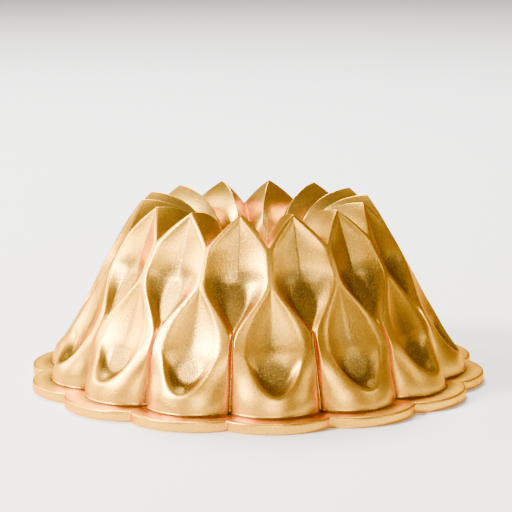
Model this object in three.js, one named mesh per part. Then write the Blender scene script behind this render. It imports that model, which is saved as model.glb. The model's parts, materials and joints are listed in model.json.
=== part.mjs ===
// Fluted ring cake pan, standing crown up on its flat rim.
// Units are millimetres, +Z is up, the rim rests on z = 0 and the centre tube is on the Z axis.
//
// The pan is one aluminium casting with a thin release coating baked on its cavity side.
// Fourteen equal flutes go round it. Across one flute the position is v, counted in flute
// widths from the middle of a lower petal (v = 0) to the middle of an upper petal (v = 0.5).

import * as THREE from 'three';

// ---- Driving dimensions ------------------------------------------------------------------

const FLUTES = 14;

// Flat flange round the mouth.
const RIM_PEAK_R = 126.4;
const RIM_CUSP_R = 118.2;
const RIM_THICK = 5.7;
const RIM_EDGE = 0.9;
const RIM_FILLET = 1.6;

// Wall, measured at the foot, at the lip under each lower petal and at the crown tips.
const FOOT_LOBE_R = 116.4;
const FOOT_GROOVE_R = 104.3;
const LIP_R = 113.3;
const LIP_Z = 15.7;
const TIP_R = 62;
const TIP_Z = 100.5;
const NOTCH_Z = 85.1;
const WALL_SWAY = 1.6;

// Upper petal: a deep leaf with a flat floor that ends in a point above each groove.
const LEAF_FLOOR_R = 74.8;
const LEAF_FLOOR_Z = 67;
const LEAF_POINT_R = 90.1;
const LEAF_POINT_Z = 45.4;
const LEAF_FLOOR_WIDE_Z = 59;
const LEAF_FLOOR_HALF = 0.165;
const EDGE_BAND = 3;

// Lower petal: a shallow teardrop dish inside each lobe.
const DROP_TIP_Z = 65.6;
const DROP_WIDE_Z = 38;
const DROP_END_Z = 16.5;
const DROP_HALF_WIDTH = 0.343;
const DROP_END_DEPTH = 5.6;
const DROP_SINK = 1.65;

// Ribbon ridge between the petals.
const RIBBON_TOP_Z = 71;
const RIBBON_LOW_Z = 41;
const RIBBON_START = 0.045;
const RIBBON_END = 0.47;
const RIBBON_FOOT = 0.4;

// Pleated crown and the hollow centre tube.
const CROWN_RIDGE_Z = 76.5;
const CROWN_VALLEY_Z = 62;
const CROWN_VALLEY_TOP = 86.6;
const TUBE_TOP_R = 29;
const TUBE_END_R = 15;
const TUBE_END_Z = 4;

// Metal and coating.
const WALL = 3.4;
const COATING = 0.05;
const COATING_RIM_SETBACK = 1.5;

// Grid steps across half a flute: teardrop, ribbon, leaf wall and leaf floor.
const STEPS_DROP = 2;
const STEPS_RIBBON = 1;
const STEPS_LEAF = 1;
const STEPS_FLOOR = 1;
const FLOOR_LEAST = 0.03;
const BALL_STEPS = 6;

// ---- Values that follow from them --------------------------------------------------------

const FLUTE_ANGLE = (2 * Math.PI) / FLUTES;
const NOTCH_R = envelope(NOTCH_Z);

// ---- Small helpers -----------------------------------------------------------------------

function clamp01(value) {
  return Math.min(1, Math.max(0, value));
}

function mix(from, to, share) {
  return from + (to - from) * share;
}

function ease(value) {
  const t = clamp01(value);
  return t * t * (3 - 2 * t);
}

// Distance from the nearest lower petal axis, 0 to 0.5 flutes.
function fold(v) {
  return Math.abs(v - Math.round(v));
}

// ---- Shape of the outside ----------------------------------------------------------------

// Radius touched by the ribbon crests at a height: a cone with a slight S bend.
function envelope(z) {
  const share = clamp01((z - LIP_Z) / (TIP_Z - LIP_Z));
  const sway = WALL_SWAY * (Math.sin(2 * Math.PI * share) + 0.25 * Math.sin(Math.PI * share));
  return mix(LIP_R, TIP_R, share) - sway;
}

// Radius of the groove and, above it, of the middle of the upper petal.
function grooveRadius(z) {
  if (z < LEAF_POINT_Z) {
    const share = (z - RIM_THICK) / (LEAF_POINT_Z - RIM_THICK);
    return mix(FOOT_GROOVE_R, LEAF_POINT_R, share);
  }
  if (z < LEAF_FLOOR_Z) {
    return mix(LEAF_POINT_R, LEAF_FLOOR_R, (z - LEAF_POINT_Z) / (LEAF_FLOOR_Z - LEAF_POINT_Z));
  }
  return mix(LEAF_FLOOR_R, TIP_R, (z - LEAF_FLOOR_Z) / (TIP_Z - LEAF_FLOOR_Z));
}

// Radius of the middle of a lobe: the envelope, standing nearly upright under the lip.
function lobeRadius(z) {
  if (z > LIP_Z) {
    return envelope(z);
  }
  return mix(FOOT_LOBE_R, LIP_R, clamp01((z - RIM_THICK) / (LIP_Z - RIM_THICK)));
}

// Rounded lobe across a flute: 0 in the groove, 1 in the middle.
function lobeShare(v, power) {
  const toGroove = 2 * v;
  return Math.pow(Math.max(0, 1 - toGroove * toGroove), power);
}

// Radius over the ribbons: round lobes low down, blending to the plain envelope above.
function crestRadius(v, z) {
  const groove = grooveRadius(z);
  const lobe = mix(groove, lobeRadius(z), lobeShare(v, 0.65));
  return mix(lobe, lobeRadius(z), ease((z - LIP_Z) / (DROP_WIDE_Z - LIP_Z)));
}

// Half width of the teardrop dish at a height.
function dropEdge(z) {
  if (z >= DROP_TIP_Z || z <= DROP_END_Z) {
    return 0;
  }
  if (z > DROP_WIDE_Z) {
    return DROP_HALF_WIDTH * Math.sin((Math.PI / 2) * ((DROP_TIP_Z - z) / (DROP_TIP_Z - DROP_WIDE_Z)));
  }
  const share = (DROP_WIDE_Z - z) / (DROP_WIDE_Z - DROP_END_Z);
  return DROP_HALF_WIDTH * Math.pow(1 - share * share, 0.75);
}

// Height of the round end of the teardrop across the flute.
function dropEndHeight(v) {
  const share = clamp01(v / DROP_HALF_WIDTH);
  return DROP_WIDE_Z - (DROP_WIDE_Z - DROP_END_Z) * Math.sqrt(1 - Math.pow(share, 4 / 3));
}

// Depth of the teardrop dish below the crest surface, growing from its tip to its round end.
function dropDepth(v, z) {
  const edge = dropEdge(z);
  if (v >= edge) {
    return 0;
  }
  const height = (z - DROP_END_Z) / (DROP_TIP_Z - DROP_END_Z);
  const middle = DROP_END_DEPTH * (1 - Math.pow(height, DROP_SINK));
  const across = v / edge;
  return middle * Math.sqrt(1 - across * across);
}

// Height of the crown edge: an ogive from notch to tip.
function crownEdge(v) {
  const share = 2 * v;
  return mix(NOTCH_Z, TIP_Z, share + 0.1 * Math.sin(Math.PI * share));
}

// Edge of the leaf: the ribbon below, the ogive less the edge band above.
function leafEdge(z) {
  const ribbon = mix(RIBBON_START, RIBBON_END, ease((RIBBON_TOP_Z - z) / (RIBBON_TOP_Z - RIBBON_LOW_Z)));
  const share = clamp01((z + EDGE_BAND - NOTCH_Z) / (TIP_Z - NOTCH_Z));
  const ogive = 0.5 * (share - 0.1 * Math.sin(Math.PI * share));
  return Math.max(ribbon, ogive);
}

// Half width of the leaf's flat floor: round above its widest height, pointed below.
function floorSide(z) {
  if (z >= LEAF_FLOOR_Z || z <= LEAF_POINT_Z) {
    return 0;
  }
  if (z > LEAF_FLOOR_WIDE_Z) {
    const over = (z - LEAF_FLOOR_WIDE_Z) / (LEAF_FLOOR_Z - LEAF_FLOOR_WIDE_Z);
    return LEAF_FLOOR_HALF * Math.sqrt(1 - over * over);
  }
  const under = (z - LEAF_POINT_Z) / (LEAF_FLOOR_WIDE_Z - LEAF_POINT_Z);
  return (LEAF_FLOOR_HALF * under * (3 - under * under)) / 2;
}

// Depth of the leaf and of the groove below it: a flat floor, then a wall up to the edge.
function leafDepth(v, z) {
  const edge = leafEdge(z);
  if (v <= edge || edge >= 0.5) {
    return 0;
  }
  const side = Math.min(floorSide(z), 0.8 * (0.5 - edge));
  const up = clamp01((0.5 - v - side) / (0.5 - edge - side));
  const full = Math.max(0, crestRadius(0.5, z) - grooveRadius(z));
  return full * (1 - Math.pow(up, 1.4));
}

// Outer radius of the wall.
function wallRadius(v, z) {
  const inFlute = fold(v);
  return crestRadius(inFlute, z) - dropDepth(inFlute, z) - leafDepth(inFlute, z);
}

// Height of the crown: pleats whose ridges run in from the tips and whose valleys run in
// from the notches, both bending down into the tube.
function crownHeight(v, r) {
  const inFlute = fold(v);
  const reach = clamp01((TIP_R - r) / (TIP_R - TUBE_TOP_R));
  const ridge = CROWN_RIDGE_Z + (TIP_Z - CROWN_RIDGE_Z) * Math.sqrt(1 - reach * reach);
  const back = clamp01((NOTCH_R - r) / (NOTCH_R - TUBE_TOP_R));
  const top = mix(CROWN_VALLEY_TOP, NOTCH_Z, clamp01((r - TIP_R) / (NOTCH_R - TIP_R)));
  const valley = CROWN_VALLEY_Z + (top - CROWN_VALLEY_Z) * Math.sqrt(1 - Math.pow(back, 2.4));
  const share = 2 * inFlute;
  return mix(valley, ridge, share + 0.1 * Math.sin(Math.PI * share));
}

// ---- Inside: the outside moved in by the wall thickness -----------------------------------

// Lowest value left under a ball of the wall thickness rolled over an outline that gives
// a value for each place round the flute and along the section.
function rolled(outline, v, along, radius) {
  let lowest = Infinity;
  for (let i = -BALL_STEPS; i <= BALL_STEPS; i += 1) {
    for (let j = -BALL_STEPS; j <= BALL_STEPS; j += 1) {
      const sideways = (i / BALL_STEPS) * WALL;
      const lengthways = (j / BALL_STEPS) * WALL;
      const left = WALL * WALL - sideways * sideways - lengthways * lengthways;
      const at = v + sideways / (radius * FLUTE_ANGLE);
      if (left >= 0) {
        lowest = Math.min(lowest, outline(at, along + lengthways) - Math.sqrt(left));
      }
    }
  }
  return lowest;
}

function innerWallRadius(v, z) {
  return rolled(wallRadius, v, z, grooveRadius(z));
}

function innerCrownHeight(v, r) {
  return rolled(crownHeight, v, r, Math.max(r, TUBE_TOP_R));
}

// Height where the inner wall meets the inner crown, found by stepping between the two.
function innerEdge(v) {
  let z = crownEdge(v) - WALL;
  for (let step = 0; step < 6; step += 1) {
    z = mix(z, innerCrownHeight(v, innerWallRadius(v, z)), 0.7);
  }
  return z;
}

// ---- Rows and columns of the grid ---------------------------------------------------------

// Columns across half a flute as [piece, share]: teardrop, ribbon, leaf wall, leaf floor.
function halfColumns() {
  const columns = [];
  [STEPS_DROP, STEPS_RIBBON, STEPS_LEAF, STEPS_FLOOR].forEach((steps, piece) => {
    for (let step = 0; step < steps; step += 1) {
      columns.push({ piece, share: step / steps });
    }
  });
  return columns;
}

// Position v of a column between the ribbon's two edges and the side of the leaf floor.
function columnPosition(column, inner, outer, floor) {
  const bounds = [0, inner, outer, floor, 0.5];
  return mix(bounds[column.piece], bounds[column.piece + 1], column.share);
}

// Lines the columns follow at a height: teardrop edge, ribbon's outer edge, floor side.
function columnEdges(z) {
  const inner = z > DROP_WIDE_Z
    ? Math.max(0.02, dropEdge(z))
    : mix(0.28, DROP_HALF_WIDTH, clamp01((z - RIM_THICK) / (DROP_WIDE_Z - RIM_THICK)));
  const ribbon = mix(RIBBON_START, RIBBON_END, ease((RIBBON_TOP_Z - z) / (RIBBON_TOP_Z - RIBBON_LOW_Z)));
  const outer = mix(RIBBON_FOOT, ribbon, ease((z - RIM_THICK) / (RIBBON_LOW_Z - RIM_THICK)));
  const side = Math.min(Math.max(floorSide(z), FLOOR_LEAST), 0.9 * (0.5 - outer));
  return [inner, outer, 0.5 - side];
}

// The wall rows from the crown edge down to the foot, each as (v, z) for a column.
function wallRow(column, row, edgeHeight) {
  const top = columnPosition(column, ...columnEdges(TIP_Z));
  if (row.zone === 'ogive') {
    return [top, edgeHeight(top) - EDGE_BAND * row.share];
  }
  if (row.zone === 'leaf') {
    const z = mix(edgeHeight(top) - EDGE_BAND, RIBBON_TOP_Z - 3, row.share);
    return [columnPosition(column, ...columnEdges(Math.min(z, RIBBON_TOP_Z))), z];
  }
  if (row.zone === 'ribbon') {
    const z = mix(RIBBON_TOP_Z - 3, DROP_WIDE_Z, row.share);
    return [columnPosition(column, ...columnEdges(z)), z];
  }
  const v = columnPosition(column, ...columnEdges(mix(DROP_WIDE_Z, RIM_THICK + 2, row.nominal)));
  const end = Math.min(dropEndHeight(v), DROP_WIDE_Z - 4);
  if (row.zone === 'drop') {
    return [v, mix(DROP_WIDE_Z, end, row.share)];
  }
  return [v, mix(end - 1, RIM_THICK + RIM_FILLET, row.share)];
}

const OUTER_ROWS = [
  { zone: 'ogive', share: 0 },
  { zone: 'ogive', share: 1 },
  { zone: 'leaf', share: 0.5 },
  { zone: 'leaf', share: 1 },
  { zone: 'ribbon', share: 0.07 },
  { zone: 'ribbon', share: 0.17 },
  { zone: 'ribbon', share: 0.35 },
  { zone: 'ribbon', share: 0.67 },
  { zone: 'ribbon', share: 1 },
  { zone: 'drop', share: 0.55, nominal: 0.1 },
  { zone: 'drop', share: 0.9, nominal: 0.2 },
  { zone: 'lobe', share: 0, nominal: 0.3 },
  { zone: 'lobe', share: 0.5, nominal: 0.7 },
  { zone: 'lobe', share: 1, nominal: 1 },
];

const INNER_ROWS = [
  { zone: 'ogive', share: 0 },
  { zone: 'leaf', share: 0.9 },
  { zone: 'ribbon', share: 0.5 },
  { zone: 'ribbon', share: 1 },
  { zone: 'drop', share: 0.5, nominal: 0.1 },
  { zone: 'drop', share: 0.8, nominal: 0.2 },
  { zone: 'lobe', share: 0.1, nominal: 0.4 },
  { zone: 'lobe', share: 0.7, nominal: 0.8 },
];

// ---- Sections: the closed outline of one column, as points [v, r, z] ------------------------

// Flange from its bottom edge round to the foot of the wall.
function flangeRows(v) {
  const reach = mix(RIM_CUSP_R, RIM_PEAK_R, lobeShare(v, 0.8));
  const foot = wallRadius(v, RIM_THICK + RIM_FILLET);
  return [
    [v, foot + RIM_FILLET, RIM_THICK],
    [v, reach - RIM_EDGE, RIM_THICK],
    [v, reach, RIM_THICK - RIM_EDGE],
    [v, reach, 0],
  ];
}

// Tube radius at a height on the bore side.
function boreRadius(z) {
  return mix(TUBE_END_R, TUBE_TOP_R, (z - TUBE_END_Z) / (CROWN_VALLEY_Z - TUBE_END_Z));
}

// Bore rows, from the mouth of the tube up to where the pleats fade in.
function boreRows(v) {
  return [TUBE_END_Z, mix(TUBE_END_Z, CROWN_VALLEY_Z, 0.5)].map((z) => [v, boreRadius(z), z]);
}

// Crown rows from the tube out towards the crown edge.
function crownRows(v, edgeRadius, height, shares) {
  return shares.map((share) => {
    const r = mix(TUBE_TOP_R, edgeRadius, share);
    return [v, r, height(v, r)];
  });
}

function outerSection(column) {
  const wall = OUTER_ROWS.map((row) => {
    const [v, z] = wallRow(column, row, crownEdge);
    return [v, wallRadius(v, z), z];
  });
  const [top, edgeRadius] = wall[0];
  const foot = wall[wall.length - 1][0];
  const crown = crownRows(top, edgeRadius, crownHeight, [0, 0.09, 0.32, 0.66]);
  return [...boreRows(top), ...crown, ...wall, ...flangeRows(foot)];
}

// Cavity side, from the rim up the wall, over the crown and down the tube.
function innerSection(column) {
  const wall = INNER_ROWS.map((row) => {
    const [v, z] = wallRow(column, row, innerEdge);
    return [v, innerWallRadius(v, z), z];
  });
  const [top, edgeRadius] = wall[0];
  const foot = wall[wall.length - 1][0];
  const ceiling = crownRows(top, edgeRadius, innerCrownHeight, [0.66, 0.33]);
  const tubeTop = CROWN_VALLEY_Z - WALL;
  const tube = [tubeTop, TUBE_END_Z + WALL].map((z) => [top, boreRadius(z) + WALL, z]);
  const rim = [foot, innerWallRadius(foot, RIM_THICK + RIM_FILLET), COATING_RIM_SETBACK];
  return { rim, wall: wall.reverse(), ceiling, tube };
}

// ---- Bodies -------------------------------------------------------------------------------

// Every column of the pan with its turn in flutes; mirrored halves share their edges.
function allColumns(section) {
  const half = halfColumns();
  const closing = { piece: 3, share: 1 };
  const across = [];
  half.forEach((column) => across.push({ points: section(column), side: 1 }));
  across.push({ points: section(closing), side: 1 });
  half.slice(1).reverse().forEach((column) => across.push({ points: section(column), side: -1 }));
  const columns = [];
  for (let flute = 0; flute < FLUTES; flute += 1) {
    across.forEach(({ points, side }) => {
      columns.push(points.map(([v, r, z]) => pointAt(flute + (side > 0 ? v : 1 - v), r, z)));
    });
  }
  return columns;
}

// A tip stands at azimuth 0, towards -Y.
function pointAt(turn, r, z) {
  const azimuth = (turn - 0.5) * FLUTE_ANGLE;
  return new THREE.Vector3(r * Math.sin(azimuth), -r * Math.cos(azimuth), z);
}

// Closed ring of columns; each column is a closed loop of points. Squares are split the
// other way in the mirrored half of a flute, and the other way again from row backFrom on,
// where the loop runs back: two bodies that share a surface then share its triangles.
function ringGeometry(columns, backFrom = Infinity) {
  const rows = columns[0].length;
  const across = columns.length / FLUTES;
  const index = [];
  columns.forEach((points, i) => {
    const beside = ((i + 1) % columns.length) * rows;
    const mirrored = i % across >= across / 2;
    for (let j = 0; j < rows; j += 1) {
      const up = (j + 1) % rows;
      const corners = [i * rows + j, beside + j, beside + up, i * rows + up];
      index.push(...splitSquare(corners, mirrored === (j >= backFrom)));
    }
  });
  const geometry = new THREE.BufferGeometry();
  const positions = columns.flatMap((points) => points.flatMap((point) => point.toArray()));
  geometry.setAttribute('position', new THREE.Float32BufferAttribute(positions, 3));
  geometry.setIndex(index);
  geometry.computeVertexNormals();
  return geometry;
}

function splitSquare([a, b, c, d], rising) {
  return rising ? [a, c, b, a, d, c] : [a, d, b, b, d, c];
}

function namedMesh(name, geometry, material) {
  const mesh = new THREE.Mesh(geometry, material);
  mesh.name = name;
  return mesh;
}

// The casting: bore, crown, wall and flange outside, cavity inside.
function makeCasting() {
  const columns = allColumns((column) => {
    const inner = innerSection(column);
    const rimInner = [inner.rim[0], inner.rim[1], 0];
    return [...outerSection(column), rimInner, inner.rim, ...inner.wall, ...inner.ceiling, ...inner.tube];
  });
  const material = new THREE.MeshStandardMaterial({ color: 0xb98a3c, roughness: 0.34, metalness: 1 });
  return namedMesh('cast_pan', ringGeometry(columns), material);
}

// Moves every point of an open grid off its surface, along the average of the grid's normals.
function raised(columns, height) {
  const rows = columns[0].length;
  return columns.map((points, i) => {
    const before = columns[(i + columns.length - 1) % columns.length];
    const after = columns[(i + 1) % columns.length];
    return points.map((point, j) => {
      const along = points[Math.min(rows - 1, j + 1)].clone().sub(points[Math.max(0, j - 1)]);
      const round = after[j].clone().sub(before[j]);
      return point.clone().addScaledVector(along.cross(round).normalize(), height);
    });
  });
}

// The release coating: a thin layer on the whole cavity side of the casting.
function makeCoating() {
  const metal = allColumns((column) => {
    const inner = innerSection(column);
    return [inner.rim, ...inner.wall, ...inner.ceiling, ...inner.tube];
  });
  const face = raised(metal, COATING);
  const columns = face.map((points, i) => [...points, ...metal[i].slice().reverse()]);
  const material = new THREE.MeshStandardMaterial({ color: 0x8f7440, roughness: 0.5, metalness: 0.6 });
  return namedMesh('release_coating', ringGeometry(columns, face[0].length), material);
}

const pan = new THREE.Group();
pan.name = 'fluted_ring_cake_pan';
pan.add(makeCasting(), makeCoating());

export default pan;
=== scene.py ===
"""Looks of a fluted ring cake pan that stands crown up on its scalloped rim.

The pan is one aluminium casting with a satin gold lacquer outside and a thin release coating
on its cavity side. Fourteen equal flutes go round it. Across a flute the position is v, in
flute widths: 0 in the middle of a lower petal and 0.5 in the middle of an upper petal.
Shape sizes are in millimetres and are turned into metres when a mesh is made.
"""

import logging
import math
from dataclasses import dataclass, field
from enum import Enum
from typing import Callable, Sequence

import bpy
import numpy as np
from mathutils import Euler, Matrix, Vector
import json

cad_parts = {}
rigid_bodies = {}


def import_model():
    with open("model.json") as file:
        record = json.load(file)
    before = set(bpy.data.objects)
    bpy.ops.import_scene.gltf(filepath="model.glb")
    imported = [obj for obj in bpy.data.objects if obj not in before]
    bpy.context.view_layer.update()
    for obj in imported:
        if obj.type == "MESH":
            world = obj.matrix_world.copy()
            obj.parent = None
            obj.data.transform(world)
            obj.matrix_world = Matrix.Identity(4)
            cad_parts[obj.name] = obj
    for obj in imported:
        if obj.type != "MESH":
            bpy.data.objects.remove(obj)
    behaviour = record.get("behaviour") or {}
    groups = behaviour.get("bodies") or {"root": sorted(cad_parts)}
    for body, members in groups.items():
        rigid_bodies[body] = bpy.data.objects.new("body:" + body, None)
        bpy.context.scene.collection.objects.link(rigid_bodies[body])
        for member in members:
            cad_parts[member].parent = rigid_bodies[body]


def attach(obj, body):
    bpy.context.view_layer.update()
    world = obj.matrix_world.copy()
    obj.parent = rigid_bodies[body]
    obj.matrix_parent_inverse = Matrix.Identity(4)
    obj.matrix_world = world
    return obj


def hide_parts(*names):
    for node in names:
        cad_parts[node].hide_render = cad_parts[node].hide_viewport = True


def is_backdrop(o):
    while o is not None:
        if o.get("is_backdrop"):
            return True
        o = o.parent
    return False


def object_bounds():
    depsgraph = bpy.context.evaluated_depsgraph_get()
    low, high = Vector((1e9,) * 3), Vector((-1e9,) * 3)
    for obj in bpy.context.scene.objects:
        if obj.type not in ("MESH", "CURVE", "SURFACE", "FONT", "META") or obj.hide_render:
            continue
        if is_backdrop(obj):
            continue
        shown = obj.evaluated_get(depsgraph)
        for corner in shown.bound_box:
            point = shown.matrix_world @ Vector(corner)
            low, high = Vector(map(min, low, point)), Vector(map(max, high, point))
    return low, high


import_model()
CAD_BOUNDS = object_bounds()

log = logging.getLogger("fluted_pan")

MM = 0.001
Array = np.ndarray
Colour = tuple[float, float, float, float]


def mix(start: Array | float, end: Array | float, share: Array | float) -> Array:
    """Blend two values in a straight line.

    Args:
        start: Value at share 0.
        end: Value at share 1.
        share: Where to read the blend.

    Returns:
        start + (end - start) * share.
    """
    return start + (end - start) * share


def clamp(value: Array | float) -> Array:
    """Limit a value to the range 0 to 1.

    Args:
        value: Any number or array.

    Returns:
        The limited value.
    """
    return np.clip(value, 0.0, 1.0)


def ease(value: Array | float) -> Array:
    """Smooth step: 3 t^2 - 2 t^3 with t limited to 0 to 1.

    Args:
        value: Any number or array.

    Returns:
        The eased value.
    """
    t = clamp(value)
    return t * t * (3.0 - 2.0 * t)


def soft_min(first: Array, second: Array, radius: Array | float) -> Array:
    """Lower of two surfaces with a rounded change from one to the other.

    Formula: half the sum less half the root of the squared difference plus radius squared.

    Args:
        first: One height.
        second: The other height.
        radius: Size of the rounding.

    Returns:
        The rounded lower value.
    """
    return 0.5 * (first + second - np.sqrt((first - second) ** 2 + radius * radius))


class Zone(Enum):
    """Bands of grid rows down the outside wall."""

    OGIVE = "ogive"
    LEAF = "leaf"
    RIBBON = "ribbon"
    DROP = "drop"
    LOBE = "lobe"


@dataclass(frozen=True)
class RimSizes:
    """Flat scalloped flange round the mouth, in millimetres."""

    peak_radius: float = 126.4
    cusp_radius: float = 118.2
    thickness: float = 5.7
    edge_round: float = 1.1
    foot_fillet: float = 1.5
    scallop_power: float = 0.8
    under_edge: float = 0.4
    under_land: float = 1.5


@dataclass(frozen=True)
class WallSizes:
    """Lobes and the conical envelope that the ribbon crests touch, in millimetres."""

    foot_lobe_radius: float = 116.4
    foot_groove_radius: float = 104.3
    lip_radius: float = 113.3
    lip_z: float = 15.7
    tip_radius: float = 62.0
    tip_z: float = 100.5
    notch_z: float = 85.1
    sway: float = 1.6
    lobe_power: float = 0.65


@dataclass(frozen=True)
class LeafSizes:
    """Upper petal: a deep leaf with a flat floor that ends in a point, in millimetres."""

    floor_radius: float = 74.8
    floor_z: float = 67.0
    point_radius: float = 90.1
    point_z: float = 45.4
    band_at_tip: float = 1.3
    band_at_notch: float = 3.2
    bowl_power: float = 2.4
    valley_share: float = 0.5
    fold_fade: float = 9.0
    floor_wide_z: float = 59.0
    floor_half: float = 0.165
    point_blend: float = 6.0


@dataclass(frozen=True)
class DropSizes:
    """Lower petal: a dished teardrop with a small flat floor, in millimetres."""

    tip_z: float = 65.6
    wide_z: float = 38.0
    end_z: float = 16.5
    half_width: float = 0.343
    end_power: float = 1.65
    floor_top_z: float = 35.5
    end_depth: float = 6.2
    sink_power: float = 1.65
    valley_share: float = 0.6
    valley_share_end: float = 0.2
    bowl_power: float = 4.0
    bowl_spread: float = 4.0
    bowl_growth: float = 1.7
    floor_round: float = 0.35
    low_from_z: float = 31.0
    low_span: float = 11.0


@dataclass(frozen=True)
class RibbonSizes:
    """S-shaped ridge between the petals; positions are in flute widths."""

    top_z: float = 71.0
    low_z: float = 41.0
    start: float = 0.045
    end: float = 0.47
    foot: float = 0.40


@dataclass(frozen=True)
class CrownSizes:
    """Pleated crown and hollow centre tube, in millimetres."""

    ridge_z: float = 76.5
    valley_z: float = 62.0
    valley_top: float = 86.6
    tube_top_radius: float = 29.0
    tube_end_radius: float = 15.0
    tube_end_z: float = 4.0


@dataclass(frozen=True)
class FluteShape:
    """Outer surface of the pan as formulas in v (flute widths), r and z (millimetres)."""

    flutes: int = 14
    rim: RimSizes = field(default_factory=RimSizes)
    wall: WallSizes = field(default_factory=WallSizes)
    leaf: LeafSizes = field(default_factory=LeafSizes)
    drop: DropSizes = field(default_factory=DropSizes)
    ribbon: RibbonSizes = field(default_factory=RibbonSizes)
    crown: CrownSizes = field(default_factory=CrownSizes)

    @property
    def flute_angle(self) -> float:
        """Angle of one flute in radians."""
        return 2.0 * math.pi / self.flutes

    def envelope(self, z: Array) -> Array:
        """Radius touched by the ribbon crests: a cone with a slight S bend.

        Args:
            z: Heights.

        Returns:
            Straight cone from lip to tip less sway * (sin(2 pi q) + sin(pi q) / 4), with q
            the share of the height between lip and tip.
        """
        w = self.wall
        q = clamp((z - w.lip_z) / (w.tip_z - w.lip_z))
        bend = np.sin(2.0 * np.pi * q) + 0.25 * np.sin(np.pi * q)
        return mix(w.lip_radius, w.tip_radius, q) - w.sway * bend

    def groove(self, z: Array) -> Array:
        """Radius in the middle of the upper petal and of the groove below it.

        Args:
            z: Heights.

        Returns:
            Straight lines from the foot to the leaf's point, its floor top and the tip.
        """
        heights = (self.rim.thickness, self.leaf.point_z, self.leaf.floor_z, self.wall.tip_z)
        radii = (
            self.wall.foot_groove_radius,
            self.leaf.point_radius,
            self.leaf.floor_radius,
            self.wall.tip_radius,
        )
        return np.interp(z, heights, radii)

    def lobe(self, z: Array) -> Array:
        """Radius in the middle of a lobe: the envelope, nearly upright under the lip.

        Args:
            z: Heights.

        Returns:
            The envelope above the lip and a straight line to the foot below it.
        """
        w = self.wall
        low = clamp((z - self.rim.thickness) / (w.lip_z - self.rim.thickness))
        skirt = mix(w.foot_lobe_radius, w.lip_radius, low)
        return np.where(z > w.lip_z, self.envelope(z), skirt)

    def lobe_share(self, v: Array, power: float) -> Array:
        """Round section of a lobe: (1 - (2 v)^2)^power, 0 in the groove and 1 in front.

        Args:
            v: Positions across the flute, 0 to 0.5.
            power: How full the round is.

        Returns:
            Share of the way from groove to front.
        """
        return np.maximum(0.0, 1.0 - (2.0 * v) ** 2) ** power

    def crest(self, v: Array, z: Array) -> Array:
        """Radius over the ribbons: round lobes low down, the plain envelope above.

        Args:
            v: Positions across the flute, 0 to 0.5.
            z: Heights.

        Returns:
            The blend of the two by height.
        """
        front = self.lobe(z)
        round_lobe = mix(self.groove(z), front, self.lobe_share(v, self.wall.lobe_power))
        rise = (z - self.wall.lip_z) / (self.drop.wide_z - self.wall.lip_z)
        return mix(round_lobe, front, ease(rise))

    def drop_edge(self, z: Array) -> Array:
        """Half width of the teardrop: a quarter sine above its wide part, a rounded end below.

        Args:
            z: Heights.

        Returns:
            Half width in flute widths, 0 outside the teardrop.
        """
        d = self.drop
        above = clamp((d.tip_z - z) / (d.tip_z - d.wide_z))
        below = clamp((d.wide_z - z) / (d.wide_z - d.end_z))
        end = (1.0 - below**d.end_power) ** (1.0 / d.end_power)
        return d.half_width * np.where(z > d.wide_z, np.sin(0.5 * np.pi * above), end)

    def drop_end(self, v: Array) -> Array:
        """Height of the teardrop's round end across the flute.

        Args:
            v: Positions across the flute.

        Returns:
            Superellipse of the end power below the wide part.
        """
        d = self.drop
        across = clamp(v / d.half_width)
        fall = (1.0 - across**d.end_power) ** (1.0 / d.end_power)
        return d.wide_z - (d.wide_z - d.end_z) * fall

    def drop_depth(self, v: Array, z: Array) -> Array:
        """Depth of the teardrop dish below the crest surface.

        Inwards from the edge, where rho is 1, the bowl falls as a (1 - rho) + (1 - a)
        (1 - rho^p): a valley plus a steep rim. Above the wide part rho is v over the half
        width, below it the superellipse distance. The middle sinks by 1 - h^s from the end to
        the tip, with h the share of the height. A flat floor cuts the bowl off low down.

        Args:
            v: Positions across the flute.
            z: Heights.

        Returns:
            Depth, 0 outside the teardrop.
        """
        d = self.drop
        below = clamp((d.wide_z - z) / (d.wide_z - d.end_z))
        upper = v / np.maximum(self.drop_edge(z), 1e-6)
        lower = (below**d.end_power + (v / d.half_width) ** d.end_power) ** (1.0 / d.end_power)
        rho = np.clip(np.where(z > d.wide_z, upper, lower), 0.0, 1.0)
        height = clamp((z - d.end_z) / (d.tip_z - d.end_z))
        floor = d.end_depth * (1.0 - height**d.sink_power)
        sink = clamp((d.floor_top_z - z) / (d.floor_top_z - d.end_z))
        low = ease((d.low_from_z - z) / d.low_span)
        valley = mix(d.valley_share, d.valley_share_end, low)
        growth = 1.0 + d.bowl_spread * sink**d.bowl_growth
        bowl = floor * growth * (valley * (1.0 - rho) + (1.0 - valley) * (1.0 - rho**d.bowl_power))
        middle = self.crest(np.zeros_like(v), z) - floor
        plane = self.crest(v, z) - middle / np.cos(v * self.flute_angle)
        rounding = d.floor_round * clamp(6.0 * sink) + 1e-6
        cut = soft_min(bowl, np.maximum(plane, 0.0), rounding)
        return np.maximum(np.where(z > d.floor_top_z, bowl, cut), 0.0)

    def crown_edge(self, v: Array) -> Array:
        """Height of the crown edge: an ogive from the notch to the tip.

        Args:
            v: Positions across the flute.

        Returns:
            notch + (tip - notch) * (x + sin(pi x) / 10) with x = 2 v.
        """
        x = 2.0 * v
        return mix(self.wall.notch_z, self.wall.tip_z, x + 0.1 * np.sin(np.pi * x))

    def band(self, v: Array) -> Array:
        """Height of the plain band between the crown edge and the leaf.

        Args:
            v: Positions across the flute.

        Returns:
            Narrow at the tip, wide at the notch.
        """
        return mix(self.leaf.band_at_notch, self.leaf.band_at_tip, 2.0 * v)

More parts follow.
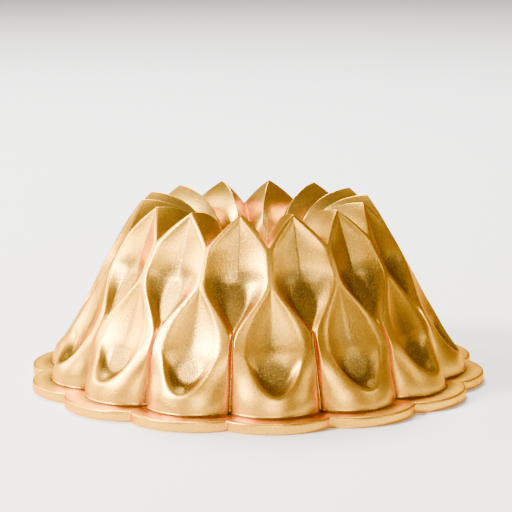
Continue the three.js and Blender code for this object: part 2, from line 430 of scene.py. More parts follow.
    def ribbon_side(self, z: Array) -> Array:
        """Outer edge of the ribbon that winds down between the petals.

        Args:
            z: Heights.

        Returns:
            Position across the flute, eased from its start to its end.
        """
        b = self.ribbon
        return mix(b.start, b.end, ease((b.top_z - z) / (b.top_z - b.low_z)))

    def leaf_edge(self, z: Array) -> Array:
        """Edge of the leaf: the ribbon below, the ogive less its band above.

        Args:
            z: Heights.

        Returns:
            Position across the flute.
        """
        w = self.wall
        guess = clamp((z - w.notch_z) / (w.tip_z - w.notch_z))
        lifted = z + self.band(0.5 * guess)
        x = clamp((lifted - w.notch_z) / (w.tip_z - w.notch_z))
        ogive = 0.5 * (x - 0.1 * np.sin(np.pi * x))
        return -soft_min(-self.ribbon_side(z), -ogive, 0.012)

    def floor_side(self, z: Array) -> Array:
        """Half width of the leaf's flat floor.

        Args:
            z: Heights.

        Returns:
            A quarter ellipse above the widest height and (3 t - t^3) / 2 below it, with t
            running from 0 at the point to 1; 0 above the floor and below its point.
        """
        f = self.leaf
        over = clamp((z - f.floor_wide_z) / (f.floor_z - f.floor_wide_z))
        under = clamp((z - f.point_z) / (f.floor_wide_z - f.point_z))
        taper = 0.5 * under * (3.0 - under * under)
        return f.floor_half * np.where(z > f.floor_wide_z, np.sqrt(1.0 - over * over), taper)

    def leaf_depth(self, v: Array, z: Array) -> Array:
        """Depth of the leaf, and of the groove below it, under the crest surface.

        From the middle (s = 0) to the edge (s = 1) the bowl rises as g = a s + (1 - a) s^p, a
        fold plus a round bowl. It is deepened by 1 / (1 - g) at the floor's side, and a flat
        plane across the petal cuts it off there.

        Args:
            v: Positions across the flute.
            z: Heights.

        Returns:
            Depth, 0 outside the leaf.
        """
        f = self.leaf
        reach = 0.5 - np.minimum(self.leaf_edge(z), 0.499)
        off = 0.5 - v
        side = np.minimum(self.floor_side(z), 0.8 * reach) / reach
        fold = f.valley_share * ease((z - f.floor_z) / f.fold_fade)
        share = np.maximum(fold, clamp((f.point_z + f.point_blend - z) / (2.0 * f.point_blend)))
        rise, least = (
            share * s + (1.0 - share) * s**f.bowl_power for s in (clamp(off / reach), side)
        )
        full = np.maximum(self.crest(np.full_like(v, 0.5), z) - self.groove(z), 0.0)
        bowl = full * (1.0 - rise) / (1.0 - least)
        plane = self.crest(v, z) - self.groove(z) / np.cos(off * self.flute_angle)
        return np.where(off < side * reach, np.maximum(plane, 0.0), bowl)

    def fold(self, v: Array) -> Array:
        """Distance from the nearest lower petal axis.

        Args:
            v: Positions in flute widths, any flute.

        Returns:
            0 to 0.5.
        """
        return np.abs(v - np.round(v))

    def wall_radius(self, v: Array, z: Array) -> Array:
        """Outer radius of the wall.

        Args:
            v: Positions in flute widths.
            z: Heights.

        Returns:
            Crest surface less the teardrop and the leaf.
        """
        x = self.fold(v)
        return self.crest(x, z) - self.drop_depth(x, z) - self.leaf_depth(x, z)

    def crown_height(self, v: Array, r: Array) -> Array:
        """Height of the pleated crown.

        Ridges run in from the tips along a quarter ellipse, valleys from the notches along a
        fuller curve, and both bend down into the tube.

        Args:
            v: Positions in flute widths.
            r: Radii.

        Returns:
            The blend from valley to ridge across the flute.
        """
        c, w = self.crown, self.wall
        notch_radius = float(self.envelope(np.asarray(w.notch_z)))
        reach = clamp((w.tip_radius - r) / (w.tip_radius - c.tube_top_radius))
        ridge = c.ridge_z + (w.tip_z - c.ridge_z) * np.sqrt(1.0 - reach**2)
        back = clamp((notch_radius - r) / (notch_radius - c.tube_top_radius))
        outward = clamp((r - w.tip_radius) / (notch_radius - w.tip_radius))
        top = mix(c.valley_top, w.notch_z, outward)
        valley = c.valley_z + (top - c.valley_z) * np.sqrt(1.0 - back**2.4)
        x = 2.0 * self.fold(v)
        return mix(valley, ridge, x + 0.1 * np.sin(np.pi * x))

    def bore_radius(self, z: Array) -> Array:
        """Radius of the tube's bore: a straight taper.

        Args:
            z: Heights.

        Returns:
            Radius in millimetres.
        """
        c = self.crown
        share = (z - c.tube_end_z) / (c.valley_z - c.tube_end_z)
        return mix(c.tube_end_radius, c.tube_top_radius, share)

    def rim_radius(self, v: Array) -> Array:
        """Outline of the scalloped flange.

        Args:
            v: Positions across the flute, 0 to 0.5.

        Returns:
            Radius in millimetres.
        """
        share = self.lobe_share(v, self.rim.scallop_power)
        return mix(self.rim.cusp_radius, self.rim.peak_radius, share)


@dataclass(frozen=True)
class Inside:
    """Cavity side of the casting: the outside moved in by a ball of the wall thickness."""

    shape: FluteShape
    wall: float = 3.4
    steps: int = 3

    def rolled(self, outline: Callable, v: Array, along: Array, radius: Array) -> Array:
        """Lowest value left under a ball of the wall thickness rolled over an outline.

        For every offset inside the ball's disc: the outline there less the root of wall
        squared minus the offset squared. The lowest of these is kept.

        Args:
            outline: Function of position round the flute and along the section.
            v: Positions in flute widths.
            along: Heights or radii along the section.
            radius: Radii that turn sideways millimetres into flute widths.

        Returns:
            The offset surface.
        """
        lowest = np.full(np.broadcast(v, along).shape, np.inf)
        reach = np.linspace(-self.wall, self.wall, 2 * self.steps + 1)
        for sideways in reach:
            for lengthways in reach:
                left = self.wall**2 - sideways**2 - lengthways**2
                if left < 0.0:
                    continue
                at = v + sideways / (radius * self.shape.flute_angle)
                lowest = np.minimum(lowest, outline(at, along + lengthways) - math.sqrt(left))
        return lowest

    def wall_radius(self, v: Array, z: Array) -> Array:
        """Radius of the cavity side of the wall.

        Args:
            v: Positions in flute widths.
            z: Heights.

        Returns:
            Radius in millimetres.
        """
        return self.rolled(self.shape.wall_radius, v, z, self.shape.groove(z))

    def crown_height(self, v: Array, r: Array) -> Array:
        """Height of the cavity side of the crown.

        Args:
            v: Positions in flute widths.
            r: Radii.

        Returns:
            Height in millimetres.
        """
        around = np.maximum(r, self.shape.crown.tube_top_radius)
        return self.rolled(self.shape.crown_height, v, r, around)

    def edge_height(self, v: Array) -> Array:
        """Height where the inner wall meets the inner crown, found by stepping between them.

        Args:
            v: Positions across the flute.

        Returns:
            Height in millimetres.
        """
        z = self.shape.crown_edge(v) - self.wall
        for _ in range(6):
            z = mix(z, self.crown_height(v, self.wall_radius(v, z)), 0.7)
        return z


@dataclass(frozen=True)
class Columns:
    """Grid columns across half a flute: teardrop, ribbon, leaf wall and leaf floor."""

    drop: int = 8
    ribbon: int = 4
    leaf: int = 6
    floor: int = 3

    def weights(self) -> Array:
        """Shares of four guide lines: ribbon's inner and outer edge, floor side, middle.

        Returns:
            Array of columns by four, from the lower petal's middle to the upper's.
        """
        t = np.arange(self.drop) / self.drop
        first = np.stack([t, 0 * t, 0 * t, 0 * t], axis=1)
        t = np.arange(self.ribbon) / self.ribbon
        second = np.stack([1 - t, t, 0 * t, 0 * t], axis=1)
        t = np.arange(self.leaf) / self.leaf
        third = np.stack([0 * t, 1 - t, t, 0 * t], axis=1)
        t = np.arange(self.floor + 1) / self.floor
        fourth = np.stack([0 * t, 0 * t, 1 - t, t], axis=1)
        return np.concatenate([first, second, third, fourth])

    def place(self, guides: Array) -> Array:
        """Positions of the columns between the guide lines.

        Args:
            guides: Rows by four guide positions.

        Returns:
            Array of rows by columns in flute widths.
        """
        return guides @ self.weights().T


@dataclass(frozen=True)
class WallGrid:
    """Rows and columns that follow the petals' edges down the wall."""

    shape: FluteShape
    columns: Columns = field(default_factory=Columns)
    ribbon_from: float = 68.0
    least_inner: float = 0.02
    least_floor: float = 0.03
    foot_inner: float = 0.28
    drop_band: float = 9.0
    drop_hold: float = 4.0
    foot_rise: float = 2.0
    line_gap: float = 0.4

    def guides(self, z: Array) -> Array:
        """Positions of the grid lines that follow the ribbon, the leaf's floor and its middle.

        Args:
            z: Heights.

        Returns:
            Array of the heights' layout by four positions.
        """
        s = self.shape
        low = clamp((z - s.rim.thickness) / (s.drop.wide_z - s.rim.thickness))
        flared = mix(self.foot_inner, s.drop.half_width, low)
        inner = np.where(z > s.drop.wide_z, np.maximum(self.least_inner, s.drop_edge(z)), flared)
        down = ease((z - s.rim.thickness) / (s.ribbon.low_z - s.rim.thickness))
        outer = mix(s.ribbon.foot, s.ribbon_side(z), down)
        floor = 0.5 - np.minimum(np.maximum(s.floor_side(z), self.least_floor), 0.45 - 0.9 * outer)
        return np.stack([inner, outer, np.maximum(floor, outer), 0.5 + 0.0 * z], axis=-1)

    def at(self, z: Array) -> Array:
        """Column positions at given heights.

        Args:
            z: One height for each row.

        Returns:
            Array of rows by columns.
        """
        return self.columns.place(self.guides(np.asarray(z, float)))

    def rows(self, zone: Zone, share: Array, edge: Callable) -> tuple[Array, Array]:
        """Positions and heights of the rows in one band.

        Args:
            zone: The band.
            share: Way down the band, 0 to 1, one for each row.
            edge: Function that gives the crown edge height at a position.

        Returns:
            Two arrays of rows by columns: positions v and heights z.
        """
        s = self.shape
        t = np.asarray(share, float)[:, None]
        top = self.at(np.full(1, s.wall.tip_z))
        crown = edge(top)
        band = s.band(top)
        if zone is Zone.OGIVE:
            return top + 0 * t, crown - band * t
        if zone is Zone.LEAF:
            z = mix(crown - band, self.ribbon_from, t)
            lines = self.guides(np.minimum(z, s.ribbon.top_z))
            return np.sum(lines * self.columns.weights(), axis=-1), z
        if zone is Zone.RIBBON:
            z = mix(self.ribbon_from, s.drop.wide_z, t)
            return self.at(z[:, 0]), z + 0 * top
        if zone is Zone.DROP:
            v = self.at(mix(s.drop.wide_z, s.drop.wide_z - self.drop_band, t)[:, 0])
            return v, mix(s.drop.wide_z, self.drop_line(v), t)
        start, end = s.drop.wide_z - self.drop_band, s.rim.thickness + self.foot_rise
        v = self.at(mix(start, end, t)[:, 0])
        foot = s.rim.thickness + s.rim.foot_fillet
        return v, mix(self.drop_line(v) - self.line_gap, foot, t)

    def drop_line(self, v: Array) -> Array:
        """Height of the row that closes the teardrop.

        Args:
            v: Positions across the flute.

        Returns:
            The teardrop's end, held a little below its wide part at the sides.
        """
        return np.minimum(self.shape.drop_end(v), self.shape.drop.wide_z - self.drop_hold)


@dataclass
class RingMesh:
    """Closed grid that goes once round the pan, made of one mirrored flute."""

    name: str
    flutes: int

    def full_ring(self, section: Array) -> Array:
        """Points of the whole ring from half a flute.

        Args:
            section: Rows by half-flute columns by (v, r, z) in millimetres.

        Returns:
            Rows by ring columns by (x, y, z) in metres.
        """
        back = section[:, -2:0:-1].copy()
        back[..., 0] = 1.0 - back[..., 0]
        flute = np.concatenate([section, back], axis=1)
        ring = np.tile(flute, (1, self.flutes, 1))
        step = np.repeat(np.arange(self.flutes), flute.shape[1])
        angle = (ring[..., 0] + step - 0.5) * (2.0 * math.pi / self.flutes)
        r, z = ring[..., 1], ring[..., 2]
        return MM * np.stack([r * np.sin(angle), -r * np.cos(angle), z], axis=-1)

    def build(self, points: Array, material: bpy.types.Material) -> bpy.types.Object:
        """Make the mesh of a ring whose rows close on themselves.

        Args:
            points: Rows by ring columns by (x, y, z) in metres.
            material: Finish of the piece.

        Returns:
            The new object, linked to the scene.
        """
        rows, count = points.shape[:2]
        grid = np.arange(rows * count).reshape(rows, count)
        up, beside = np.roll(grid, -1, 0), np.roll(grid, -1, 1)
        across = np.roll(up, -1, 1)
        faces = np.stack([grid, up, across, beside], axis=-1).reshape(-1, 4)
        mesh = bpy.data.meshes.new(self.name)
        mesh.vertices.add(rows * count)
        mesh.vertices.foreach_set("co", points.reshape(-1).astype(np.float32))
        mesh.loops.add(faces.size)
        mesh.loops.foreach_set("vertex_index", faces.reshape(-1).astype(np.int32))
        mesh.polygons.add(len(faces))
        mesh.polygons.foreach_set("loop_start", np.arange(0, faces.size, 4, dtype=np.int32))
        mesh.polygons.foreach_set("use_smooth", np.ones(len(faces), dtype=bool))
        mesh.update(calc_edges=True)
        # relief and hollow drive the painted highlight on ridges and the painted shade in hollows of the
        # gold lacquer
        for name, passes in (("relief", 12), ("hollow", 160)):
            values = self.relief(points, passes).reshape(-1).astype(np.float32)
            mesh.attributes.new(name, "FLOAT", "POINT").data.foreach_set("value", values)
        mesh.materials.append(material)
        piece = bpy.data.objects.new(self.name, mesh)
        bpy.context.scene.collection.objects.link(piece)
        return piece

    def normals(self, points: Array) -> Array:
        """Outward directions of a closed grid: the crossed differences of its neighbours.

        Args:
            points: Rows by ring columns by (x, y, z).

        Returns:
            Unit vectors in the same layout.
        """
        along = np.roll(points, -1, 0) - np.roll(points, 1, 0)
        around = np.roll(points, -1, 1) - np.roll(points, 1, 1)
        out = np.cross(along, around)
        return out / np.maximum(np.linalg.norm(out, axis=-1, keepdims=True), 1e-12)

    def relief(self, points: Array, passes: int) -> Array:
        """How far each point stands above its surroundings, in millimetres.

        Formula: the point less a wide average of its neighbours, measured along the normal.

        Args:
            points: Rows by ring columns by (x, y, z) in metres.
            passes: How wide the average is.

        Returns:
            Positive on ridges, negative in valleys.
        """
        wide = smoothed(points, passes)
        return np.sum((points - wide) * self.normals(points), axis=-1) / MM


def smoothed(points: Array, passes: int) -> Array:
    """Round a closed grid by averaging each point with its four neighbours.

    Formula: half the point plus an eighth of each neighbour, repeated.

    Args:
        points: Rows by ring columns by (x, y, z).
        passes: How many times to average.

    Returns:
        The rounded grid.
    """
    for _ in range(passes):
        around = np.roll(points, 1, 1) + np.roll(points, -1, 1)
        along = np.roll(points, 1, 0) + np.roll(points, -1, 0)
        points = 0.5 * points + 0.125 * (around + along)
    return points


@dataclass
class CastPan:
    """The casting: bore, crown, wall and flange outside, and the cavity inside."""

    shape: FluteShape = field(default_factory=FluteShape)
    edge_passes: int = 2
    coating: float = 0.05
    coating_setback: float = 1.5
    inner_rows: int = 0

    def __post_init__(self) -> None:
        """Set up the grid and the cavity side that share the shape."""
        self.grid = WallGrid(self.shape)
        self.inside = Inside(self.shape)
        self.ring = RingMesh("cast_body", self.shape.flutes)

    def band(self, zone: Zone, count: int, edge: Callable, radius: Callable) -> Array:
        """Section rows of one band of the wall.

        Args:
            zone: The band.
            count: Number of rows; the band's last row is left to the next band.
            edge: Crown edge height at a position.
            radius: Wall radius at a position and a height.

        Returns:
            Rows by columns by (v, r, z).
        """
        v, z = self.grid.rows(zone, np.arange(count) / count, edge)
        return np.stack([v, radius(v, z), z], axis=-1)

    def wall_rows(self, counts: Sequence[int], edge: Callable, radius: Callable) -> Array:
        """All bands of the wall from the crown edge to the foot.

        Args:
            counts: Rows for each band.
            edge: Crown edge height at a position.
            radius: Wall radius at a position and a height.

        Returns:
            Rows by columns by (v, r, z).
        """
        bands = [self.band(zone, n, edge, radius) for zone, n in zip(Zone, counts)]
        return np.concatenate(bands)

    def crown_rows(self, top: Array, share: Array, height: Callable) -> Array:
        """Section rows from the tube out to the crown edge.

        Args:
            top: Columns by (v, r, z) of the crown edge.
            share: Way out, 0 at the tube and 1 at the edge, one for each row.
            height: Crown height at a position and a radius.

        Returns:
            Rows by columns by (v, r, z).
        """
        t = np.asarray(share)[:, None]
        r = mix(self.shape.crown.tube_top_radius, top[None, :, 1], t)
        v = top[None, :, 0] + 0 * r
        return np.stack([v, r, height(v, r)], axis=-1)

    def tube_rows(self, v: Array, z: Array, outward: float) -> Array:
        """Section rows of the tube.

        Args:
            v: Column positions.
            z: One height for each row.
            outward: Distance from the bore surface.

        Returns:
            Rows by columns by (v, r, z).
        """
        heights = np.asarray(z, float)[:, None] + 0 * v
        radii = self.shape.bore_radius(heights) + outward
        return np.stack([v + 0 * heights, radii, heights], axis=-1)

    def flange_rows(self, foot: Array) -> Array:
        """Section rows of the foot fillet and the flange, down to its flat underside.

        Args:
            foot: Columns by (v, r, z) of the wall's last row.

        Returns:
            Rows by columns by (v, r, z).
        """
        rim = self.shape.rim
        v = foot[:, 0]
        reach = self.shape.rim_radius(v)
        turn = np.linspace(0.0, 0.5 * np.pi, 5)[:, None]
        fillet_r = foot[:, 1] + rim.foot_fillet * (1.0 - np.cos(turn))
        fillet_z = rim.thickness + rim.foot_fillet * (1.0 - np.sin(turn))
        start = fillet_r[-1]
        top = np.linspace(0.12, 1.0, 6)[:, None]
        top_r = mix(start, reach - rim.edge_round, top)
        curve = np.linspace(0.0, 0.5 * np.pi, 5)[1:, None]
        edge_r = reach - rim.edge_round * (1.0 - np.sin(curve))
        edge_z = rim.thickness - rim.edge_round * (1.0 - np.cos(curve))
        side_z = np.linspace(rim.thickness - rim.edge_round, 0.5, 4)[1:, None]
        under_r = np.stack([reach - rim.under_edge, reach - rim.under_land])
        side_r = reach + 0 * side_z
        flat = 0 * reach
        parts_r = [fillet_r, top_r, edge_r, side_r, under_r]
        parts_z = [fillet_z + flat, rim.thickness + 0 * top_r, edge_z + flat, side_z + flat]
        parts_z.append(0 * under_r)
        radii, heights = np.concatenate(parts_r), np.concatenate(parts_z)
        return np.stack([v + 0 * radii, radii, heights], axis=-1)

    def outer_section(self) -> Array:
        """Outside from the bore's mouth over the crown and down to the flange's underside.

        Returns:
            Rows by columns by (v, r, z).
        """
        s = self.shape
        wall = self.wall_rows((4, 28, 32, 18, 8), s.crown_edge, s.wall_radius)
        v = wall[0, :, 0]
        bore = self.tube_rows(v, np.linspace(s.crown.tube_end_z, s.crown.valley_z, 6)[:-1], 0.0)
        share = 0.5 * (1.0 - np.cos(np.linspace(0.0, np.pi, 23)))
        share = share**1.3
        crown = self.crown_rows(wall[0], share[:-1], s.crown_height)
        return np.concatenate([bore, crown, wall, self.flange_rows(wall[-1])])

    def inner_section(self) -> Array:
        """Cavity side from the rim up the wall, over the crown and down the tube.

        Returns:
            Rows by columns by (v, r, z).
        """
        s, inside = self.shape, self.inside
        wall = self.wall_rows((1, 6, 7, 5, 3), inside.edge_height, inside.wall_radius)
        v = wall[0, :, 0]
        foot = wall[-1]
        rim_z = np.array([self.coating_setback, 4.0])[:, None]
        rim_r = foot[None, :, 1] + (foot[None, :, 2] - rim_z) * 0.12
        rim = np.stack([foot[None, :, 0] + 0 * rim_r, rim_r, rim_z + 0 * rim_r], axis=-1)
        share = np.array([0.86, 0.7, 0.54, 0.4, 0.27, 0.16, 0.08])
        ceiling = self.crown_rows(wall[0], share, inside.crown_height)
        heights = np.linspace(s.crown.valley_z - inside.wall, s.crown.tube_end_z + 2.0, 5)
        tube = self.tube_rows(v, heights, inside.wall)
        return np.concatenate([rim, wall[::-1], ceiling, tube])

    def build(self, material: bpy.types.Material) -> bpy.types.Object:
        """Make the casting.

        Args:
            material: Finish of the casting.

        Returns:
            The new object.
        """
        outer, inner = self.outer_section(), self.inner_section()
        corner = inner[:1].copy()
        corner[..., 2] = 0.0
        land = mix(outer[-1:], corner, np.array([0.35, 0.7, 0.96])[:, None, None])
        section = np.concatenate([outer, land, corner, inner])
        self.inner_rows = len(inner)
        ring = self.ring.full_ring(section)
        self.points = smoothed(ring, self.edge_passes)
        self.points[..., 2] = np.maximum(self.points[..., 2], 0.0)
        return self.ring.build(self.points, material)


@dataclass
class ReleaseCoating:
    """Thin release coating on the whole cavity side of the casting."""

    casting: CastPan

    def build(self, material: bpy.types.Material) -> bpy.types.Object:
        """Make the coating as a closed layer on the casting's inner rows.

        Args:
            material: Finish of the coating.

        Returns:
            The new object.
        """
        ring = RingMesh("release_layer", self.casting.shape.flutes)
        lift = self.casting.coating * MM * self.casting.ring.normals(self.casting.points)
        rows = slice(-self.casting.inner_rows, None)
        metal = self.casting.points[rows]
        face = metal + lift[rows]
        return ring.build(np.concatenate([face, metal[::-1]]), material)


class NodeTree:
    """Small helper that adds and joins shader nodes."""

    def __init__(self, name: str) -> None:
        """Start an empty material.

        Args:
            name: Name of the material.
        """
        self.material = bpy.data.materials.new(name)
        self.material.use_nodes = True
        self.tree = self.material.node_tree
        self.tree.nodes.clear()

    def add(self, kind: str, **values: object) -> bpy.types.Node:
        """Add a node and set its properties.

        Args:
            kind: Node type.
            **values: Properties to set on the node.

        Returns:
            The new node.
        """
        node = self.tree.nodes.new(kind)
        for key, value in values.items():
            setattr(node, key, value)
        return node

    def join(self, start: bpy.types.NodeSocket, end: bpy.types.NodeSocket) -> None:
        """Link two sockets.

        Args:
            start: Output socket.
            end: Input socket.
        """
        self.tree.links.new(start, end)

    def noise(self, scale: float, detail: float, rough: float) -> bpy.types.NodeSocket:
        """Add noise in object coordinates.

        Args:
            scale: Cells for each metre.
            detail: Octaves.
            rough: How strong the fine octaves are.

        Returns:
            The noise value.
        """
        place = self.add("ShaderNodeTexCoord")
        node = self.add("ShaderNodeTexNoise")
        node.inputs["Scale"].default_value = scale
        node.inputs["Detail"].default_value = detail
        node.inputs["Roughness"].default_value = rough
        self.join(place.outputs["Object"], node.inputs["Vector"])
        return node.outputs["Fac"]

    def axis_distance(self) -> bpy.types.NodeSocket:
        """Add the distance from the pan's middle axis.

        Returns:
            The distance in metres, from the object coordinates with z left out.
        """
        place = self.add("ShaderNodeTexCoord")
        flat = self.add("ShaderNodeVectorMath", operation="MULTIPLY")
        flat.inputs[1].default_value = (1.0, 1.0, 0.0)
        self.join(place.outputs["Object"], flat.inputs[0])
        length = self.add("ShaderNodeVectorMath", operation="LENGTH")
        self.join(flat.outputs["Vector"], length.inputs[0])
        return length.outputs["Value"]

    def remap(
        self, value: bpy.types.NodeSocket, low: float, high: float, to_low: float, to_high: float
    ) -> bpy.types.NodeSocket:
        """Map a range of values onto another.

        Args:
            value: The input.
            low: Input that gives to_low.
            high: Input that gives to_high.
            to_low: Lowest output.
            to_high: Highest output.

        Returns:
            The mapped value.
        """
        node = self.add("ShaderNodeMapRange")
        node.inputs["From Min"].default_value = low
        node.inputs["From Max"].default_value = high
        node.inputs["To Min"].default_value = to_low
        node.inputs["To Max"].default_value = to_high
        self.join(value, node.inputs["Value"])
        return node.outputs["Result"]

    def blend(
        self, factor: bpy.types.NodeSocket, first: object, second: object
    ) -> bpy.types.NodeSocket:
        """Blend two colours.

        Args:
            factor: Share of the second colour.
            first: Colour or socket at 0.
            second: Colour or socket at 1.

        Returns:
            The blended colour.
        """
        node = self.add("ShaderNodeMix", data_type="RGBA")
        self.join(factor, node.inputs["Factor"])
        for socket, value in ((node.inputs[6], first), (node.inputs[7], second)):
            if isinstance(value, bpy.types.NodeSocket):
                self.join(value, socket)
            else:
                socket.default_value = value
        return node.outputs[2]

    def bump(
        self, height: bpy.types.NodeSocket, strength: float, distance: float
    ) -> bpy.types.NodeSocket:
        """Turn a height into a bumped normal.

        Args:
            height: The height value.
            strength: How strong the bump is.
            distance: Depth in metres.

        Returns:
            The normal.
        """
        node = self.add("ShaderNodeBump")
        node.inputs["Strength"].default_value = strength
        node.inputs["Distance"].default_value = distance
        self.join(height, node.inputs["Height"])
        return node.outputs["Normal"]


@dataclass(frozen=True)
class GoldLacquer:
    """Satin gold lacquer over cast aluminium: fine flakes, painted highlight on ridges, painted shade in
    hollows and a darker, duller painted shade towards the tube.
    """

    base: Colour = (0.88, 0.43, 0.014, 1.0)
    # ridge: painted highlight on ridges and crests; the bright flake specks use it too
    ridge: Colour = (0.98, 0.51, 0.033, 1.0)
    # valley: painted shade in hollows and grooves; the dark flake specks use it too
    valley: Colour = (0.27, 0.168, 0.036, 1.0)
    # Painted shade, darker and duller towards the centre tube
    tube_shade: Colour = (0.50, 0.34, 0.07, 1.0)
    crown_reach: float = 0.074
    edge_tint: Colour = (1.0, 0.62, 0.12, 1.0)
    roughness: float = 0.33
    gloss_spread: float = 0.04
    dull_spread: float = 0.06
    flake_depth: float = 0.00018
    flake_scale: float = 1150.0
    mottle_scale: float = 34.0

    def build(self) -> bpy.types.Material:
        """Make the material.

        Returns:
            The finished material.
        """
        n = NodeTree("gold_lacquer")
        out = n.add("ShaderNodeOutputMaterial")
        shader = n.add("ShaderNodeBsdfPrincipled")
        n.join(shader.outputs["BSDF"], out.inputs["Surface"])
        relief = n.add("ShaderNodeAttribute", attribute_name="relief").outputs["Fac"]
        flakes = n.noise(self.flake_scale, 2.0, 0.6)
        mottle = n.noise(self.mottle_scale, 4.0, 0.55)
        # Painted highlight: points that stand above their surroundings take the ridge colour
        high = n.remap(relief, 0.2, 0.8, 0.0, 1.0)
        # Painted shade: points sunk below their wide surroundings darken towards the valley colour
        hollow = n.add("ShaderNodeAttribute", attribute_name="hollow").outputs["Fac"]
        low = n.remap(hollow, -0.35, -1.5, 0.0, 0.92)
        # Painted shade: the finish darkens towards the tube from crown_reach inwards
        tube_shade_mask = n.remap(n.axis_distance(), self.crown_reach, 0.6 * self.crown_reach, 0.0, 0.85)
        toned = n.blend(tube_shade_mask, self.base, self.tube_shade)
        toned = n.blend(low, toned, self.valley)
        toned = n.blend(high, toned, self.ridge)
        toned = n.blend(n.remap(flakes, 0.5, 0.7, 0.0, 0.7), toned, self.ridge)
        toned = n.blend(n.remap(flakes, 0.5, 0.3, 0.0, 0.42), toned, self.valley)
        n.join(toned, shader.inputs["Base Color"])
        shader.inputs["Specular Tint"].default_value = self.edge_tint
        shader.inputs["Metallic"].default_value = 1.0
        smooth, dull = self.roughness - self.gloss_spread, self.roughness + self.dull_spread
        rough = n.remap(mottle, 0.3, 0.7, smooth, dull)
        n.join(rough, shader.inputs["Roughness"])
        n.join(n.bump(flakes, 0.6, self.flake_depth), shader.inputs["Normal"])
        return n.material


@dataclass(frozen=True)
class ReleaseFinish:
    """Baked-on satin release coating in a bronze tone."""

    base: Colour = (0.30, 0.20, 0.09, 1.0)
    worn: Colour = (0.38, 0.27, 0.13, 1.0)
    roughness: float = 0.42
    roughness_worn: float = 0.52

    def build(self) -> bpy.types.Material:
        """Make the material.

        Returns:
            The finished material.
        """
        n = NodeTree("release_finish")
        out = n.add("ShaderNodeOutputMaterial")
        shader = n.add("ShaderNodeBsdfPrincipled")
        n.join(shader.outputs["BSDF"], out.inputs["Surface"])
        mottle = n.noise(60.0, 5.0, 0.6)
        n.join(n.blend(mottle, self.base, self.worn), shader.inputs["Base Color"])
        shader.inputs["Metallic"].default_value = 0.75
        n.join(n.remap(mottle, 0.3, 0.7, self.roughness, self.roughness_worn), shader.inputs["Roughness"])
        n.join(n.bump(n.noise(900.0, 2.0, 0.5), 0.15, 0.0002), shader.inputs["Normal"])
        return n.material


@dataclass(frozen=True)
class FloorPaint:
    """Plain pale floor."""

    base: Colour = (0.88, 0.91, 0.96, 1.0)
    roughness: float = 0.7

    def build(self) -> bpy.types.Material:
        """Make the material.

        Returns:
            The finished material.
        """
        n = NodeTree("floor_paint")
        out = n.add("ShaderNodeOutputMaterial")
        shader = n.add("ShaderNodeBsdfPrincipled")
        n.join(shader.outputs["BSDF"], out.inputs["Surface"])
        shader.inputs["Base Color"].default_value = self.base
        shader.inputs["Roughness"].default_value = self.roughness
        return n.material


@dataclass(frozen=True)
class SoftLight:
    """One soft light panel, aimed at a point over the pan."""

    name: str
    place: tuple[float, float, float]
    size: float
    power: float
    colour: tuple[float, float, float] = (1.0, 1.0, 1.0)
    aim: tuple[float, float, float] = (0.0, 0.0, 0.05)

    def build(self) -> None:
        """Add the light to the scene."""
        data = bpy.data.lights.new(self.name, "AREA")
        data.shape = "DISK"
        data.size = self.size
        data.energy = self.power
        data.color = self.colour
        lamp = bpy.data.objects.new(self.name, data)
        lamp.location = self.place
        toward = Vector(self.aim) - Vector(self.place)
        lamp.rotation_euler = toward.to_track_quat("-Z", "Y").to_euler()
        bpy.context.scene.collection.objects.link(lamp)


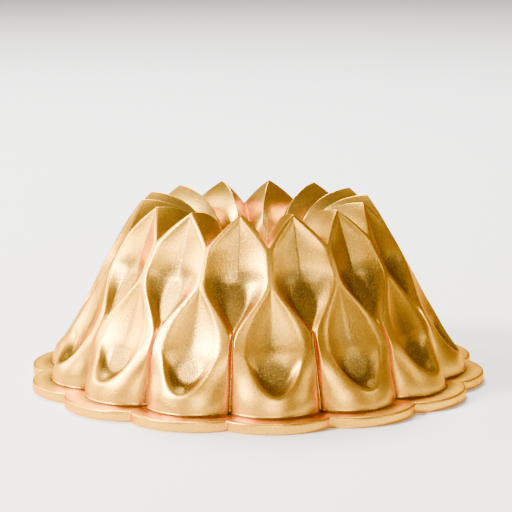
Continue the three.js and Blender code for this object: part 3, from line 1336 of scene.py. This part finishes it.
@dataclass(frozen=True)
class Studio:
    """Pale floor, soft lights and the camera."""

    floor_half: float = 6.0
    sky: Colour = (0.86, 0.64, 0.44, 1.0)
    sky_strength: float = 0.36
    distance: float = 1.1477
    elevation: float = math.radians(12.19)
    azimuth: float = math.radians(7.46)
    target_z: float = 0.040
    pitch: float = math.radians(1.34)
    roll: float = math.radians(0.27)
    lens: float = 145.2

    def floor(self) -> None:
        """Add the floor plane and mark it as not part of the pan."""
        h = self.floor_half
        corners = [(-h, -h, 0.0), (h, -h, 0.0), (h, h, 0.0), (-h, h, 0.0)]
        mesh = bpy.data.meshes.new("floor")
        mesh.from_pydata(corners, [], [(0, 1, 2, 3)])
        mesh.materials.append(FloorPaint().build())
        plane = bpy.data.objects.new("floor", mesh)
        bpy.context.scene.collection.objects.link(plane)
        plane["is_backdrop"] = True

    def lights(self) -> None:
        """Add the soft lights and the even sky."""
        SoftLight("key_left", (-1.6, -0.9, 1.25), 0.6, 165.0, (1.0, 0.93, 0.80)).build()
        SoftLight("side_left", (-1.9, 0.5, 0.7), 0.8, 55.0, (1.0, 0.93, 0.80)).build()
        SoftLight("fill_front", (0.3, -2.4, 1.0), 1.1, 42.0, (1.0, 0.93, 0.80)).build()
        SoftLight("fill_right", (1.8, -0.5, 0.9), 0.4, 5.0, (1.0, 0.95, 0.86)).build()
        SoftLight("top_back", (-0.4, 1.5, 2.0), 1.0, 180.0, (1.0, 0.97, 0.93)).build()
        world = bpy.data.worlds.new("studio")
        world.use_nodes = True
        sky = world.node_tree.nodes["Background"]
        sky.inputs["Color"].default_value = self.sky
        sky.inputs["Strength"].default_value = self.sky_strength
        bpy.context.scene.world = world

    def camera(self) -> None:
        """Add the camera at the viewing angle."""
        data = bpy.data.cameras.new("camera")
        data.lens = self.lens
        data.sensor_width = 36.0
        data.clip_end = 60.0
        flat = self.distance * math.cos(self.elevation)
        place = Vector(
            (
                flat * math.sin(self.azimuth),
                -flat * math.cos(self.azimuth),
                self.target_z + self.distance * math.sin(self.elevation),
            )
        )
        aim = (Vector((0.0, 0.0, self.target_z)) - place).to_track_quat("-Z", "Y")
        tilt = Euler((self.pitch, 0.0, -self.roll)).to_quaternion()
        eye = bpy.data.objects.new("camera", data)
        eye.location = place
        eye.rotation_euler = (aim @ tilt).to_euler()
        bpy.context.scene.collection.objects.link(eye)
        bpy.context.scene.camera = eye

    def build(self) -> None:
        """Add everything around the pan."""
        self.floor()
        self.lights()
        self.camera()


def write_sizes() -> None:
    """Work out the bounds of the CAD part and of the finished looks; nothing is written.
    """
    rows = {"cad": CAD_BOUNDS, "looks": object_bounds()}
    for name, bounds in rows.items():
        low, high = ([float(value) for value in corner] for corner in bounds)


def main() -> None:
    """Build the pan, then the studio."""
    logging.basicConfig(level=logging.INFO, format="%(message)s")
    casting = CastPan()
    body = casting.build(GoldLacquer().build())
    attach(body, "root")
    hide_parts("cast_pan")
    log.info("cast body: %d faces", len(body.data.polygons))
    layer = ReleaseCoating(casting).build(ReleaseFinish().build())
    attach(layer, "root")
    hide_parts("release_coating")
    log.info("release layer: %d faces", len(layer.data.polygons))
    Studio().build()
    write_sizes()


if __name__ == "__main__":
    main()
